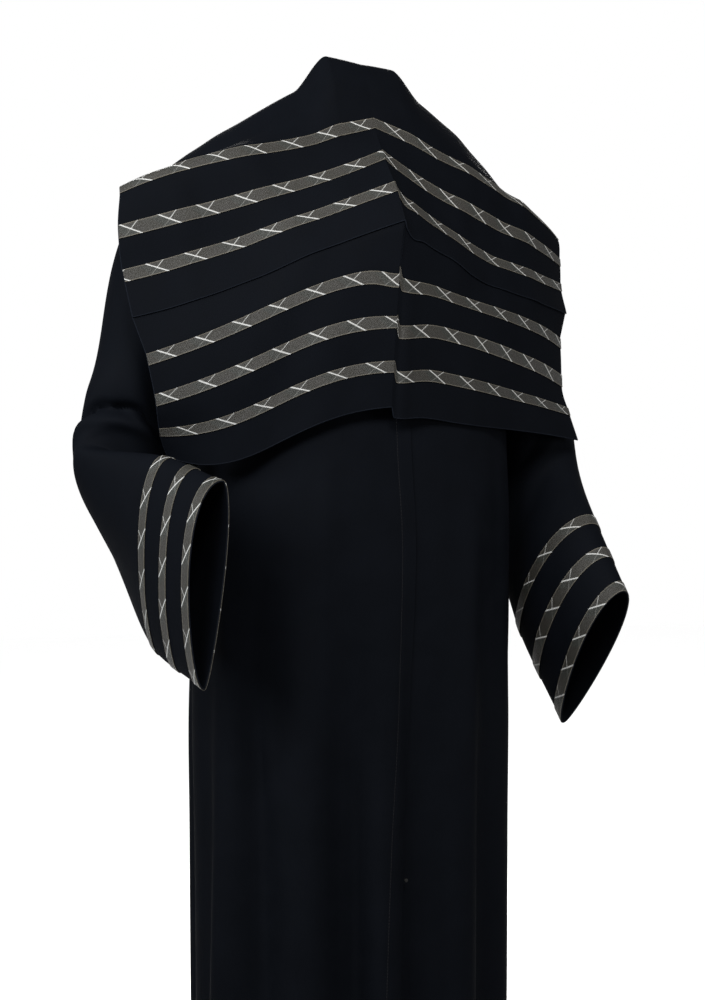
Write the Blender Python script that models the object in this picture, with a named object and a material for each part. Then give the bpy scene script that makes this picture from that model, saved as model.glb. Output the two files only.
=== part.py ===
"""Abaya worn with its own matching shoulder drape, standing as if on a figure that isn't there.

Metres in the scene, millimetres in the tables. +Z is up, the front faces -Y and the wearer's left is +X.
The origin is the middle of the neck's base, where the wearer holds the garment up.
Every piece of cloth is a thin wall behind a grid of points, and the functions below work out each grid.
"""

import math
from collections import namedtuple

import bpy
import numpy as np

MM = 0.001
LEFT = 1
RIGHT = -1

# Cloth
CLOTH = 1.5
TWO_LAYERS = 3.0
TRIM_CLOTH = 1.0
GAP = 0.3

# Woven trim, the same ribbon on the sleeves and on both ends of the drape
TRIM_WIDTH = 14.5
CUFF_TRIM_STARTS = (0.0, 50.0, 100.0)
LOWER_TRIM_STARTS = (47.0, 98.0, 149.0)
UPPER_TRIM_STARTS = (41.0, 91.0, 142.0)

# Front closure
PLACKET_WIDTH = 17.0
UNDERLAP = 36.0
UNDERLAP_EASE = 30.0
STUD_RADIUS = 2.5
STUD_HEIGHT = 1.0
STUD_TAPER = 0.8
STUD_SIDES = 12
STUD_Z = -889.0
STUD_FROM_EDGE = 4.0

# Body: level rings from the hem up to the neckline
Ring = namedtuple("Ring", "z half side_y front back edge_x")
BODY_RINGS = (
    Ring(z=-1360, half=184, side_y=40, front=-122, back=200, edge_x=-10),
    Ring(z=-1180, half=185, side_y=39, front=-122, back=196, edge_x=-8),
    Ring(z=-1000, half=188, side_y=37, front=-121, back=190, edge_x=-3),
    Ring(z=-850, half=192, side_y=36, front=-120, back=182, edge_x=4),
    Ring(z=-690, half=197, side_y=35, front=-119, back=172, edge_x=16),
    Ring(z=-510, half=197, side_y=31, front=-117, back=156, edge_x=22),
    Ring(z=-390, half=192, side_y=26, front=-113, back=143, edge_x=17),
    Ring(z=-255, half=186, side_y=19, front=-102, back=128, edge_x=15),
    Ring(z=-150, half=182, side_y=14, front=-82, back=112, edge_x=15),
    Ring(z=-90, half=179, side_y=13, front=-56, back=94, edge_x=15),
    Ring(z=-52.5, half=171, side_y=12, front=-38, back=72, edge_x=15),
    Ring(z=-14, half=120, side_y=9, front=-36, back=60, edge_x=15),
    Ring(z=14, half=72, side_y=5, front=-38, back=52, edge_x=15),
)
SQUARENESS = 0.035
HEM_ROWS_Z = (-1360, -1270, -1180, -1090, -1000, -910, -820, -740, -660, -580, -500, -420, -340)
UNDERARM_Z = -255.0
SHOULDER_Z = -52.5
SHOULDER_ROWS_Z = (-36, -14, 14)
NECK_DIP = 50.0
NECK_DIP_FROM_Z = -190.0
OVERLAP_COLUMN = 2
ARMHOLE_STEPS = 9
ARMHOLE_MIDDLE_Z = -150.0
ARMHOLE_BITE = 40.0

# Upright folds of the skirt, in order round the body: 0 is the left side seam and -90 the middle front
Fold = namedtuple("Fold", "top_angle hem_angle top_z height")
SKIRT_FOLDS = (
    Fold(top_angle=-180, hem_angle=-186, top_z=-560, height=5),
    Fold(top_angle=-150, hem_angle=-163, top_z=-500, height=21),
    Fold(top_angle=-122, hem_angle=-123, top_z=-420, height=18),
    Fold(top_angle=-97, hem_angle=-95, top_z=-480, height=14),
    Fold(top_angle=-66, hem_angle=-69, top_z=-440, height=17),
    Fold(top_angle=-38, hem_angle=-36, top_z=-480, height=15),
    Fold(top_angle=-12, hem_angle=-9, top_z=-480, height=8),
    Fold(top_angle=14, hem_angle=16, top_z=-420, height=14),
    Fold(top_angle=39, hem_angle=40, top_z=-340, height=19),
    Fold(top_angle=63, hem_angle=64, top_z=-400, height=22),
    Fold(top_angle=89, hem_angle=88, top_z=-340, height=24),
    Fold(top_angle=114, hem_angle=112, top_z=-400, height=21),
    Fold(top_angle=138, hem_angle=134, top_z=-360, height=14),
    Fold(top_angle=160, hem_angle=154, top_z=-440, height=7),
)
FOLD_GROWTH = 620.0
COLUMNS_PER_FOLD = 4
PLACE_MARGIN = 0.12
COLUMN_ROOM = 4.0
RIGHT_PLACES_END = -102.0
LEFT_PLACES_START = -78.0
SIDE_PACE = 0.8
ANGLE_STEPS = 720

# Sleeves, ring by ring from the cuff. top is the overarm line and low the hanging underarm fold.
# fore and aft are how far the two faces stand off the line between them
Cuffward = namedtuple("Cuffward", "along top low fore aft")
RIGHT_SLEEVE = (
    Cuffward(along=0, top=(-244, -200, -429), low=(-262, -190, -657), fore=22, aft=24),
    Cuffward(along=120, top=(-282, -96, -400), low=(-282, -70, -616), fore=32, aft=18),
    Cuffward(along=250, top=(-344, 6, -388), low=(-262, 42, -540), fore=44, aft=24),
    Cuffward(along=370, top=(-316, 20, -280), low=(-232, 44, -420), fore=46, aft=42),
    Cuffward(along=480, top=(-300, 18, -172), low=(-214, 32, -330), fore=44, aft=48),
    Cuffward(along=560, top=(-262, 16, -90), low=(-203, 24, -284), fore=42, aft=48),
)
LEFT_SLEEVE = (
    Cuffward(along=0, top=(278, -150, -566), low=(257, -40, -722), fore=18, aft=24),
    Cuffward(along=120, top=(264, -84, -474), low=(222, 26, -602), fore=34, aft=32),
    Cuffward(along=250, top=(289, 8, -376), low=(204, 56, -494), fore=42, aft=42),
    Cuffward(along=370, top=(262, 18, -270), low=(196, 46, -402), fore=42, aft=46),
    Cuffward(along=470, top=(240, 15, -172), low=(208, 32, -318), fore=42, aft=48),
    Cuffward(along=545, top=(212, 14, -102), low=(201, 24, -280), fore=38, aft=46),
)
SLEEVE_LENGTH = {RIGHT: 650.0, LEFT: 610.0}
SLEEVE_TOP_HEAVY = 0.3
SLEEVE_ROWS_ABOVE_TRIM = 10

# Shoulder drape, upper layer: the crease line from the front hem over the neck to the fold behind.
# along is the distance from the front hem, cap how far the neck's flat top stands over the slopes
Crease = namedtuple("Crease", "along x y z cap")
UPPER_CREASE = (
    Crease(along=0, x=2, y=-132, z=-127, cap=0),
    Crease(along=48, x=1, y=-106, z=-86, cap=0),
    Crease(along=98, x=0, y=-71, z=-45, cap=0),
    Crease(along=149, x=0, y=-41, z=-4, cap=4),
    Crease(along=200, x=0, y=-22, z=46, cap=18),
    Crease(along=235, x=0, y=2, z=73, cap=31),
    Crease(along=268, x=0, y=34, z=64, cap=14),
    Crease(along=310, x=0, y=66, z=34, cap=4),
    Crease(along=360, x=0, y=94, z=-8, cap=0),
    Crease(along=460, x=0, y=126, z=-102, cap=0),
    Crease(along=560, x=0, y=142, z=-200, cap=0),
    Crease(along=740, x=0, y=162, z=-378, cap=0),
)
LOWER_CREASE = (
    Crease(along=0, x=-14, y=-130, z=-343, cap=0),
    Crease(along=54, x=-12, y=-131, z=-297, cap=0),
    Crease(along=105, x=-9, y=-132, z=-245, cap=0),
    Crease(along=170, x=-5, y=-132, z=-174, cap=0),
)

# How each half runs out from the crease: its length, then degrees backward and degrees downward
# beside the crease, halfway and at the outer edge
Half = namedtuple("Half", "along run back fall")
UPPER_RIGHT_HALF = (
    Half(along=0, run=334, back=(12, 18, 14), fall=(19, 23, 13)),
    Half(along=48, run=334, back=(8, 15, 14), fall=(21, 20, 14)),
    Half(along=98, run=330, back=(-2, 9, 16), fall=(24, 16, 15)),
    Half(along=149, run=322, back=(-8, 5, 22), fall=(20, 11, 26)),
    Half(along=200, run=325, back=(-4, 14, 28), fall=(20, 29, 31)),
    Half(along=235, run=330, back=(4, 18, 20), fall=(20, 32, 34)),
    Half(along=310, run=330, back=(0, 8, 14), fall=(24, 36, 38)),
    Half(along=460, run=325, back=(-2, -6, -16), fall=(22, 28, 28)),
    Half(along=740, run=305, back=(-2, -10, -22), fall=(10, 12, 12)),
)
UPPER_LEFT_HALF = (
    Half(along=0, run=318, back=(14, 22, 40), fall=(43, 12, 6)),
    Half(along=48, run=318, back=(8, 18, 44), fall=(45, 15, 4)),
    Half(along=98, run=318, back=(0, 14, 44), fall=(36, 17, 14)),
    Half(along=149, run=316, back=(-6, 12, 40), fall=(23, 21, 24)),
    Half(along=200, run=320, back=(-4, 14, 36), fall=(25, 33, 36)),
    Half(along=235, run=326, back=(4, 16, 26), fall=(22, 36, 40)),
    Half(along=310, run=325, back=(0, 6, 10), fall=(26, 38, 44)),
    Half(along=460, run=315, back=(-2, -6, -20), fall=(24, 30, 34)),
    Half(along=740, run=300, back=(-2, -10, -24), fall=(10, 14, 16)),
)
LOWER_RIGHT_HALF = (
    Half(along=0, run=286, back=(8, 20, 44), fall=(4, 27, -22)),
    Half(along=54, run=292, back=(8, 18, 32), fall=(2, 26, 0)),
    Half(along=105, run=298, back=(8, 16, 22), fall=(2, 25, 16)),
    Half(along=170, run=312, back=(10, 16, 18), fall=(6, 25, 18)),
)
LOWER_LEFT_HALF = (
    Half(along=0, run=318, back=(10, 22, 26), fall=(14, 3, 6)),
    Half(along=54, run=310, back=(10, 22, 34), fall=(9, 8, 8)),
    Half(along=105, run=304, back=(10, 22, 41), fall=(9, 11, 14)),
    Half(along=170, run=304, back=(10, 22, 44), fall=(26, 9, 14)),
)
CAP_HALF_WIDTH = 48.0
CAP_EDGE = 42.0
LEFT_CAP_SHARE = 0.62
WALK_STEPS = 160
DRAPE_COLUMNS = 12
RIDGE_ROWS = (182, 208, 235, 268)
BACK_FALL_ROWS = (288, 310, 335, 365, 405, 460, 530, 600, 670, 740)

# Looks
SHARP_EDGE = 50.0
CREPE = (0.010, 0.010, 0.013)
TRIM_BRONZE = (0.105, 0.092, 0.078)
STUD_METAL = (0.55, 0.54, 0.50)


def smooth(t):
    """0 to 1 with level ends."""
    t = np.clip(t, 0.0, 1.0)
    return t * t * (3.0 - 2.0 * t)


def column(rows, name):
    """One named column of a table."""
    return [getattr(row, name) for row in rows]


def slopes_at(at, values):
    """Slopes that keep a curve through (at, values) from overshooting."""
    step = np.diff(at)[:, None]
    slope = np.diff(values, axis=0) / step
    if len(at) == 2:
        return np.vstack([slope, slope])
    before, after = slope[:-1], slope[1:]
    same = before * after > 0
    weight_a = 2 * step[1:] + step[:-1]
    weight_b = step[1:] + 2 * step[:-1]
    safe_before = np.where(same, before, 1.0)
    safe_after = np.where(same, after, 1.0)
    mean = (weight_a + weight_b) / (weight_a / safe_before + weight_b / safe_after)
    return np.vstack([slope[:1], np.where(same, mean, 0.0), slope[-1:]])


def curve_through(at, values, where):
    """A smooth curve through (at, values), read at where. Each value may be a number or an array."""
    at = np.asarray(at, float)
    values = np.asarray(values, float)
    where = np.asarray(where, float)
    flat = values.reshape(len(at), -1)
    tangent = slopes_at(at, flat)
    spot = np.clip(where.ravel(), at[0], at[-1])
    index = np.clip(np.searchsorted(at, spot, side="right") - 1, 0, len(at) - 2)
    width = (at[index + 1] - at[index])[:, None]
    t = (spot - at[index])[:, None] / width
    start = (1 + 2 * t) * (1 - t) ** 2 * flat[index] + t * (1 - t) ** 2 * width * tangent[index]
    end = t * t * (3 - 2 * t) * flat[index + 1] + t * t * (t - 1) * width * tangent[index + 1]
    return (start + end).reshape(where.shape + values.shape[1:])


def unit(vectors):
    return vectors / np.linalg.norm(vectors, axis=-1, keepdims=True)


def grid_normals(grid):
    """Outward normals of a grid whose rows go up the outside and whose columns go to the left hand."""
    up = np.gradient(grid, axis=0)
    across = np.gradient(grid, axis=1)
    return unit(np.cross(across, up))


def material(name, colour, roughness, metallic=0.0):
    made = bpy.data.materials.new(name)
    made.use_nodes = True
    shader = made.node_tree.nodes["Principled BSDF"]
    shader.inputs["Base Color"].default_value = (*colour, 1.0)
    shader.inputs["Roughness"].default_value = roughness
    shader.inputs["Metallic"].default_value = metallic
    return made


def add_object(name, vertices, faces, finish):
    """One closed solid, its points given in millimetres."""
    mesh = bpy.data.meshes.new(name)
    mesh.from_pydata([tuple(point) for point in np.asarray(vertices) * MM], [], faces)
    mesh.validate()
    mesh.shade_smooth()
    mesh.set_sharp_from_angle(angle=math.radians(SHARP_EDGE))
    mesh.materials.append(material(name, **finish))
    made = bpy.data.objects.new(name, mesh)
    bpy.context.scene.collection.objects.link(made)
    return made


def rim_loop(rows, columns):
    """Grid places round the edge, anticlockwise as seen from outside."""
    loop = [(0, j) for j in range(columns - 1)]
    loop += [(i, columns - 1) for i in range(rows - 1)]
    loop += [(rows - 1, j) for j in range(columns - 1, 0, -1)]
    loop += [(i, 0) for i in range(rows - 1, 0, -1)]
    return loop


def wall(name, outer, inner, finish):
    """A sheet of cloth between two grids of the same size."""
    rows, columns = outer.shape[:2]
    count = rows * columns
    faces = []
    for i in range(rows - 1):
        for j in range(columns - 1):
            a = i * columns + j
            b, c, d = a + 1, a + columns + 1, a + columns
            faces += [(a, b, c), (a, c, d)]
            faces += [(count + a, count + c, count + b), (count + a, count + d, count + c)]
    loop = [i * columns + j for i, j in rim_loop(rows, columns)]
    for a, b in zip(loop, loop[1:] + loop[:1]):
        faces += [(b, a, count + a), (b, count + a, count + b)]
    vertices = np.vstack([outer.reshape(-1, 3), inner.reshape(-1, 3)])
    return add_object(name, vertices, faces, finish)


def cloth(name, grid, normals, thickness=CLOTH):
    crepe = dict(colour=CREPE, roughness=0.75)
    return wall(name, grid, grid - normals * thickness, crepe)


def trim(name, grid, normals, first_row):
    """A ribbon that lies on one row of a panel's cells."""
    rows = slice(first_row, first_row + 2)
    near = grid[rows] + normals[rows] * GAP
    far = grid[rows] + normals[rows] * (GAP + TRIM_CLOTH)
    return wall(name, far, near, dict(colour=TRIM_BRONZE, roughness=0.55))


# Body

def ring_at(z, name):
    return curve_through(column(BODY_RINGS, "z"), column(BODY_RINGS, name), z)


def ring_offset(angle, z, name):
    """x or y of the plain body, before its folds, at an angle in degrees."""
    turn = np.radians(angle)
    swell = 1.0 + SQUARENESS * np.sin(2 * turn) ** 2
    if name == "x":
        return ring_at(z, "half") * np.cos(turn) * swell
    depth = np.where(np.sin(turn) < 0, ring_at(z, "side_y") - ring_at(z, "front"),
                     ring_at(z, "back") - ring_at(z, "side_y"))
    return ring_at(z, "side_y") + depth * np.sin(turn) * swell


def fold_angles(z):
    """The angle of each fold's ridge at one height, with a turn more at each end."""
    share = np.clip((SHOULDER_Z - z) / (SHOULDER_Z - HEM_ROWS_Z[0]), 0.0, 1.0)
    top = np.array(column(SKIRT_FOLDS, "top_angle"), float)
    hem = np.array(column(SKIRT_FOLDS, "hem_angle"), float)
    ridges = top + (hem - top) * share
    return np.concatenate([ridges - 360, ridges, ridges + 360])


def fold_place(angle, z):
    """Where an angle lies among the ridges: whole numbers are ridges, halves are troughs."""
    ridges = fold_angles(z)
    return np.interp(angle, ridges, np.arange(len(ridges)))


def fold_height(angle, z):
    place = fold_place(angle, z)
    nearest = int(round(float(place)))
    fold = SKIRT_FOLDS[nearest % len(SKIRT_FOLDS)]
    growth = smooth((fold.top_z - z) / FOLD_GROWTH)
    return fold.height * growth * (0.5 + 0.5 * math.cos(2 * math.pi * (place - nearest)))


def body_point(angle, z):
    """A point of the body's outer surface, at an angle in degrees."""
    x = float(ring_offset(angle, z, "x"))
    y = float(ring_offset(angle, z, "y"))
    out = np.array([math.cos(math.radians(angle)), math.sin(math.radians(angle))])
    height = fold_height(angle, z)
    front = max(0.0, -out[1]) ** 2
    dip = NECK_DIP * front * smooth((z - NECK_DIP_FROM_Z) / (SHOULDER_ROWS_Z[-1] - NECK_DIP_FROM_Z))
    return np.array([x + out[0] * height, y + out[1] * height, z - dip])


def body_normal(angle, z, step=0.2, reach=2.0):
    across = body_point(angle + step, z) - body_point(angle - step, z)
    low, high = max(z - reach, HEM_ROWS_Z[0]), min(z + reach, SHOULDER_ROWS_Z[-1])
    up = body_point(angle, high) - body_point(angle, low)
    return unit(np.cross(across, up))


def angle_for_x(x, z):
    """The front angle, between -180 and 0, at which the body's outline has this x."""
    angles = np.linspace(-180, 0, ANGLE_STEPS + 1)
    return float(np.interp(x, ring_offset(angles, z, "x"), angles))


def armhole_heights():
    turn = np.pi * np.arange(ARMHOLE_STEPS + 1) / ARMHOLE_STEPS
    return UNDERARM_Z + (SHOULDER_Z - UNDERARM_Z) * (1 - np.cos(turn)) / 2


def armhole_bite(z):
    """Degrees that the armhole takes out of each panel at a height."""
    if z <= UNDERARM_Z or z >= SHOULDER_Z:
        return 0.0
    level = 2 * (z - UNDERARM_Z) / (SHOULDER_Z - UNDERARM_Z) - 1
    return ARMHOLE_BITE * math.sqrt(max(0.0, 1 - level * level))


def body_heights():
    return np.concatenate([HEM_ROWS_Z, armhole_heights(), SHOULDER_ROWS_Z])


def seam_gap_angle(z):
    """Half the seam gap as an angle: a side's depth is about SIDE_PACE of its half width."""
    return math.degrees(GAP / 2 / float(ring_at(z, "half") * SIDE_PACE))


def inner_places(start, end):
    """Evenly spaced places among the folds that stay inside a panel at every height."""
    heights = body_heights()
    low = max(fold_place(start, z) for z in heights)
    high = min(fold_place(end, z) for z in heights)
    first = math.ceil((low + PLACE_MARGIN) * COLUMNS_PER_FOLD)
    last = math.floor((high - PLACE_MARGIN) * COLUMNS_PER_FOLD)
    return [k / COLUMNS_PER_FOLD for k in range(first, last + 1)]


def squeezed(angles, inside, start, end):
    """Angles that lie inside one range, squeezed into the range from start to end."""
    share = (np.asarray(angles) - inside[0]) / (inside[1] - inside[0])
    return start + share * (end - start)


def panel(angles_at):
    """Grid and normals of a body panel. angles_at gives the column angles at a height."""
    heights = body_heights()
    grid = np.array([[body_point(a, z) for a in angles_at(z)] for z in heights])
    normals = np.array([[body_normal(a, z) for a in angles_at(z)] for z in heights])
    return grid, normals


def place_angles(places, z):
    ridges = fold_angles(z)
    return np.interp(places, np.arange(len(ridges)), ridges)


def back_panel():
    places = inner_places(0, 180)

    def angles_at(z):
        gap = seam_gap_angle(z)
        angles = [gap, *place_angles(places, z), 180 - gap]
        bite = armhole_bite(z)
        return squeezed(angles, (0, 180), bite, 180 - bite)

    return panel(angles_at)


def front_edge_angles(z):
    """Underlap edge, placket stitching and overlap edge."""
    edge = float(ring_at(z, "edge_x"))
    return [angle_for_x(edge - inset, z) for inset in (UNDERLAP, PLACKET_WIDTH, 0.0)]


def right_front_panel():
    places = inner_places(-180, RIGHT_PLACES_END)

    def angles_at(z):
        angles = [-180 + seam_gap_angle(z), *place_angles(places, z)]
        edge = front_edge_angles(z)
        inside = (-180, max(edge[0], angles[-1] + COLUMN_ROOM))
        return [*squeezed(angles, inside, -180 + armhole_bite(z), edge[0]), *edge]

    return panel(angles_at)


def left_front_panel():
    places = inner_places(LEFT_PLACES_START, 0)

    def angles_at(z):
        angles = [*place_angles(places, z), -seam_gap_angle(z)]
        edge = front_edge_angles(z)
        inside = (min(edge[-1], angles[0] - COLUMN_ROOM), 0)
        return [*edge, *squeezed(angles, inside, edge[-1], -armhole_bite(z))]

    grid, normals = panel(angles_at)
    edge_x = np.array([float(ring_at(z, "edge_x")) for z in body_heights()])
    under = smooth((edge_x[:, None] + UNDERLAP_EASE - grid[:, :, 0]) / UNDERLAP_EASE)
    grid = grid - normals * (under * (CLOTH + GAP))[:, :, None]
    return grid, normals


# Sleeves

def armhole_ring(side, grid, normals, edge_column):
    """One panel's armhole edge, from the underarm up, moved off it by the seam gap."""
    first = len(HEM_ROWS_Z)
    rows = slice(first, first + ARMHOLE_STEPS + 1)
    edge = grid[rows, edge_column]
    off = unit(np.cross(np.gradient(edge, axis=0), normals[rows, edge_column]))
    middle_x = side * float(ring_at(ARMHOLE_MIDDLE_Z, "half"))
    middle = np.array([middle_x, float(ring_at(ARMHOLE_MIDDLE_Z, "side_y")), ARMHOLE_MIDDLE_Z])
    toward = np.sum(off * (middle - edge), axis=1, keepdims=True)
    off = off * np.where(toward < 0, -1.0, 1.0)
    return edge + off * GAP, off


def sleeve_ring(row, axis, side):
    """Points round a sleeve from its underarm seam over the arm and back."""
    top = np.array(row.top, float)
    low = np.array(row.low, float)
    across = unit(np.cross(top - low, axis))
    count = 2 * ARMHOLE_STEPS + 1
    turn = 2 * np.pi * np.arange(count) / (count - 1)
    rise = -np.cos(turn)[:, None]
    first, second = (row.fore, row.aft) if side == LEFT else (row.aft, row.fore)
    width = np.where(turn < np.pi, first, second)[:, None]
    points = (top + low) / 2 + (top - low) / 2 * rise
    points = points - across * np.sin(turn)[:, None] * width * (1 + SLEEVE_TOP_HEAVY * rise)
    points[0] -= across * GAP / 2
    points[-1] += across * GAP / 2
    return points


def sleeve(side, table, front, back):
    """Grid and normals of a sleeve, its last ring set against the armhole."""
    middles = [(np.array(row.top, float) + np.array(row.low, float)) / 2 for row in table]
    axes = np.gradient(np.array(middles), axis=0)
    rings = [sleeve_ring(row, -axis, side) for row, axis in zip(table, axes)]
    front_half = armhole_ring(side, *front, edge_column=-1 if side == LEFT else 0)
    back_half = armhole_ring(side, *back, edge_column=0 if side == LEFT else -1)
    first, second = (front_half, back_half) if side == LEFT else (back_half, front_half)
    edge, off = (np.vstack([a[:-1], (a[-1:] + b[-1:]) / 2, b[-2::-1]]) for a, b in zip(first, second))
    rings.append(edge)
    length = SLEEVE_LENGTH[side]
    at = column(table, "along") + [length]
    trim_rows = [start + extra for start in CUFF_TRIM_STARTS for extra in (0.0, TRIM_WIDTH)]
    rest = np.linspace(trim_rows[-1], length, SLEEVE_ROWS_ABOVE_TRIM + 1)[1:]
    grid = curve_through(at, np.array(rings), np.concatenate([trim_rows, rest]))
    normals = grid_normals(grid)
    seam = unit(normals[:, 0] + normals[:, -1])
    normals[:, 0] = seam
    normals[:, -1] = seam
    off = unit(off)
    leaning = np.maximum(np.sum(normals[-1] * off, axis=1, keepdims=True), 0.0)
    normals[-1] = unit(normals[-1] - off * leaning)
    return grid, normals


# Shoulder drape

def half_run(crease, half, along, shares, side):
    """Points along one half of a row, worked out by walking from the crease."""
    run, back, fall = (curve_through(column(half, "along"), column(half, name), along)
                       for name in ("run", "back", "fall"))
    steps = np.linspace(0.0, 1.0, WALK_STEPS + 1)
    middle = (steps[1:] + steps[:-1]) / 2
    back = np.radians(curve_through((0.0, 0.5, 1.0), back, middle))
    fall = np.radians(curve_through((0.0, 0.5, 1.0), fall, middle))
    move = np.stack([side * np.cos(back) * np.cos(fall), np.sin(back) * np.cos(fall), -np.sin(fall)], 1)
    path = np.vstack([np.zeros(3), np.cumsum(move, axis=0) * run / len(middle)])
    at = np.array([float(curve_through(column(crease, "along"), column(crease, n), along)) for n in "xyz"])
    points = at + np.stack([np.interp(shares, steps, path[:, k]) for k in range(3)], 1)
    distance = shares * run
    cap = float(curve_through(column(crease, "along"), column(crease, "cap"), along))
    lean = 1.0 if side == RIGHT else LEFT_CAP_SHARE
    inner = np.minimum(distance / CAP_HALF_WIDTH, 1.0)
    points[:, 2] += cap * lean * inner * (1 - smooth((distance - CAP_HALF_WIDTH) / CAP_EDGE))
    return points


def drape(crease, right_half, left_half, rows):
    shares = np.linspace(0.0, 1.0, DRAPE_COLUMNS)
    grid = []
    for along in rows:
        right = half_run(crease, right_half, along, shares, RIGHT)
        left = half_run(crease, left_half, along, shares, LEFT)
        grid.append(np.vstack([right[:0:-1], left]))
    return np.array(grid)


def trim_row_places(starts):
    return [start + extra for start in starts for extra in (0.0, TRIM_WIDTH)]


def upper_drape():
    """The layer on top, cut in two where the front end meets the double fold behind."""
    rows = [0.0, *trim_row_places(UPPER_TRIM_STARTS), *RIDGE_ROWS, *BACK_FALL_ROWS]
    grid = drape(UPPER_CREASE, UPPER_RIGHT_HALF, UPPER_LEFT_HALF, rows)
    normals = grid_normals(grid)
    split = len(rows) - len(BACK_FALL_ROWS) - 1
    front = grid[:split + 1], normals[:split + 1]
    back = grid[split:].copy(), normals[split:]
    back[0][0] += unit(grid[split + 1] - grid[split]) * GAP
    return front, back


def lower_drape(upper_grid, upper_normals):
    """The lower end: its top rows are the upper layer's first rows, moved in behind it."""
    rows = [0.0, *trim_row_places(LOWER_TRIM_STARTS)]
    grid = drape(LOWER_CREASE, LOWER_RIGHT_HALF, LOWER_LEFT_HALF, rows)
    tucked = upper_grid[:2] - upper_normals[:2] * (CLOTH + GAP)
    grid = np.concatenate([grid, tucked])
    normals = grid_normals(grid)
    normals[-2:] = upper_normals[:2]
    return grid, normals


def press_stud(grid):
    """A small round stud on the left front, just clear of the overlap's edge."""
    heights = body_heights()
    row = int(np.searchsorted(heights, STUD_Z)) - 1
    share = (STUD_Z - heights[row]) / (heights[row + 1] - heights[row])
    foot_point, top_point = grid[row, OVERLAP_COLUMN], grid[row + 1, OVERLAP_COLUMN]
    far_point = grid[row + 1, OVERLAP_COLUMN + 1]
    outward = unit(far_point - top_point)
    normal = unit(np.cross(far_point - foot_point, top_point - foot_point))
    centre = foot_point + (top_point - foot_point) * share + outward * STUD_FROM_EDGE + normal * GAP
    upward = np.cross(normal, outward)
    turn = 2 * np.pi * np.arange(STUD_SIDES) / STUD_SIDES
    ring = np.outer(np.cos(turn), outward) + np.outer(np.sin(turn), upward)
    foot = centre + ring * STUD_RADIUS
    head = centre + normal * STUD_HEIGHT + ring * STUD_RADIUS * STUD_TAPER
    order = list(range(STUD_SIDES))
    faces = [tuple(reversed(order)), tuple(k + STUD_SIDES for k in order)]
    for k, after in zip(order, order[1:] + order[:1]):
        faces.append((k, after, STUD_SIDES + after, STUD_SIDES + k))
    finish = dict(colour=STUD_METAL, roughness=0.3, metallic=1.0)
    return add_object("press_stud", np.vstack([foot, head]), faces, finish)


def add_trims(prefix, grid, normals, first_rows):
    for number, row in enumerate(first_rows, start=1):
        trim(f"{prefix}_{number}", grid, normals, row)


def build():
    for old in list(bpy.data.objects):
        bpy.data.objects.remove(old)
    back = back_panel()
    right_front = right_front_panel()
    left_front = left_front_panel()
    cloth("back", *back)
    cloth("front_right", *right_front)
    cloth("front_left", *left_front)
    right_sleeve = sleeve(RIGHT, RIGHT_SLEEVE, right_front, back)
    left_sleeve = sleeve(LEFT, LEFT_SLEEVE, left_front, back)
    cloth("sleeve_right", *right_sleeve)
    cloth("sleeve_left", *left_sleeve)
    add_trims("cuff_trim_right", *right_sleeve, first_rows=(0, 2, 4))
    add_trims("cuff_trim_left", *left_sleeve, first_rows=(0, 2, 4))
    upper, behind = upper_drape()
    lower = lower_drape(*upper)
    cloth("drape_upper_front", *upper)
    cloth("drape_back_fall", *behind, thickness=TWO_LAYERS)
    cloth("drape_lower_front", *lower)
    add_trims("drape_trim_upper", *upper, first_rows=(1, 3, 5))
    add_trims("drape_trim_lower", *lower, first_rows=(1, 3, 5))
    press_stud(left_front[0])


build()
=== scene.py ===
"""Looks of the worn abaya and its matching shoulder scarf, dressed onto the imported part.

Metres in the scene, millimetres in the tables. +Z is up, the front faces -Y and the wearer's left is +X.
The cloth surfaces are worked out again from the part's own sizes, much finer, with the small folds,
hems, stitching and the ribbon's weave that the solids leave out.
"""

import math
from collections import namedtuple

import bpy
import numpy as np
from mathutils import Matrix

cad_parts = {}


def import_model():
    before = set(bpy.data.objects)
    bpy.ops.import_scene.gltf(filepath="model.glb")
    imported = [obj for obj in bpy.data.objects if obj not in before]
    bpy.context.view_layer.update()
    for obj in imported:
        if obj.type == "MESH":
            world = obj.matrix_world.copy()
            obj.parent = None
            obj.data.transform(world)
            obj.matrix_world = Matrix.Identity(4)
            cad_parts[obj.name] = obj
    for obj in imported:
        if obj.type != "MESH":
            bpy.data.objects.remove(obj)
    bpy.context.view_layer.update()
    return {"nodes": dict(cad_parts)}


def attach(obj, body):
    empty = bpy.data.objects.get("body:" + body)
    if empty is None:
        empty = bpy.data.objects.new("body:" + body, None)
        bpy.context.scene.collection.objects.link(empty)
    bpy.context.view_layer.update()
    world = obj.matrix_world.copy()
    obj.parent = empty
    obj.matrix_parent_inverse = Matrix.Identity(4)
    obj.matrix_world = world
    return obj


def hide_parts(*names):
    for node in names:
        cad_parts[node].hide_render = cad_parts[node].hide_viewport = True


MM = 0.001
LEFT = 1
RIGHT = -1

# Cloth
SHEET = 1.1
TWO_LAYERS = 2.6
SKIN = 0.15
GAP = 0.3
TUCK_DEPTH = 1.5
HEM_RADIUS = 0.75
SHARP_ANGLE = math.radians(50.0)

# Woven ribbon
TRIM_WIDTH = 14.5
TRIM_LIFT = 0.95
TRIM_SHEET = 0.6
TRIM_ACROSS = 5
CUFF_TRIM_STARTS = (0.0, 50.0, 100.0)
LOWER_TRIM_STARTS = (47.0, 98.0, 149.0)
UPPER_TRIM_STARTS = (41.0, 91.0, 142.0)
PITCH = 46.0
WEFT_PITCH = 0.75
WARP_PITCH = 0.6
THREAD_BLUR = 0.22
DOT_PACE = 4.6
EDGE_BAND = (1.15, 0.75)
LOZENGE_SLANT = 1.2
LOZENGE_START = (-15.0, -13.0)
LOZENGE_END = (1.0, -1.0)

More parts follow.
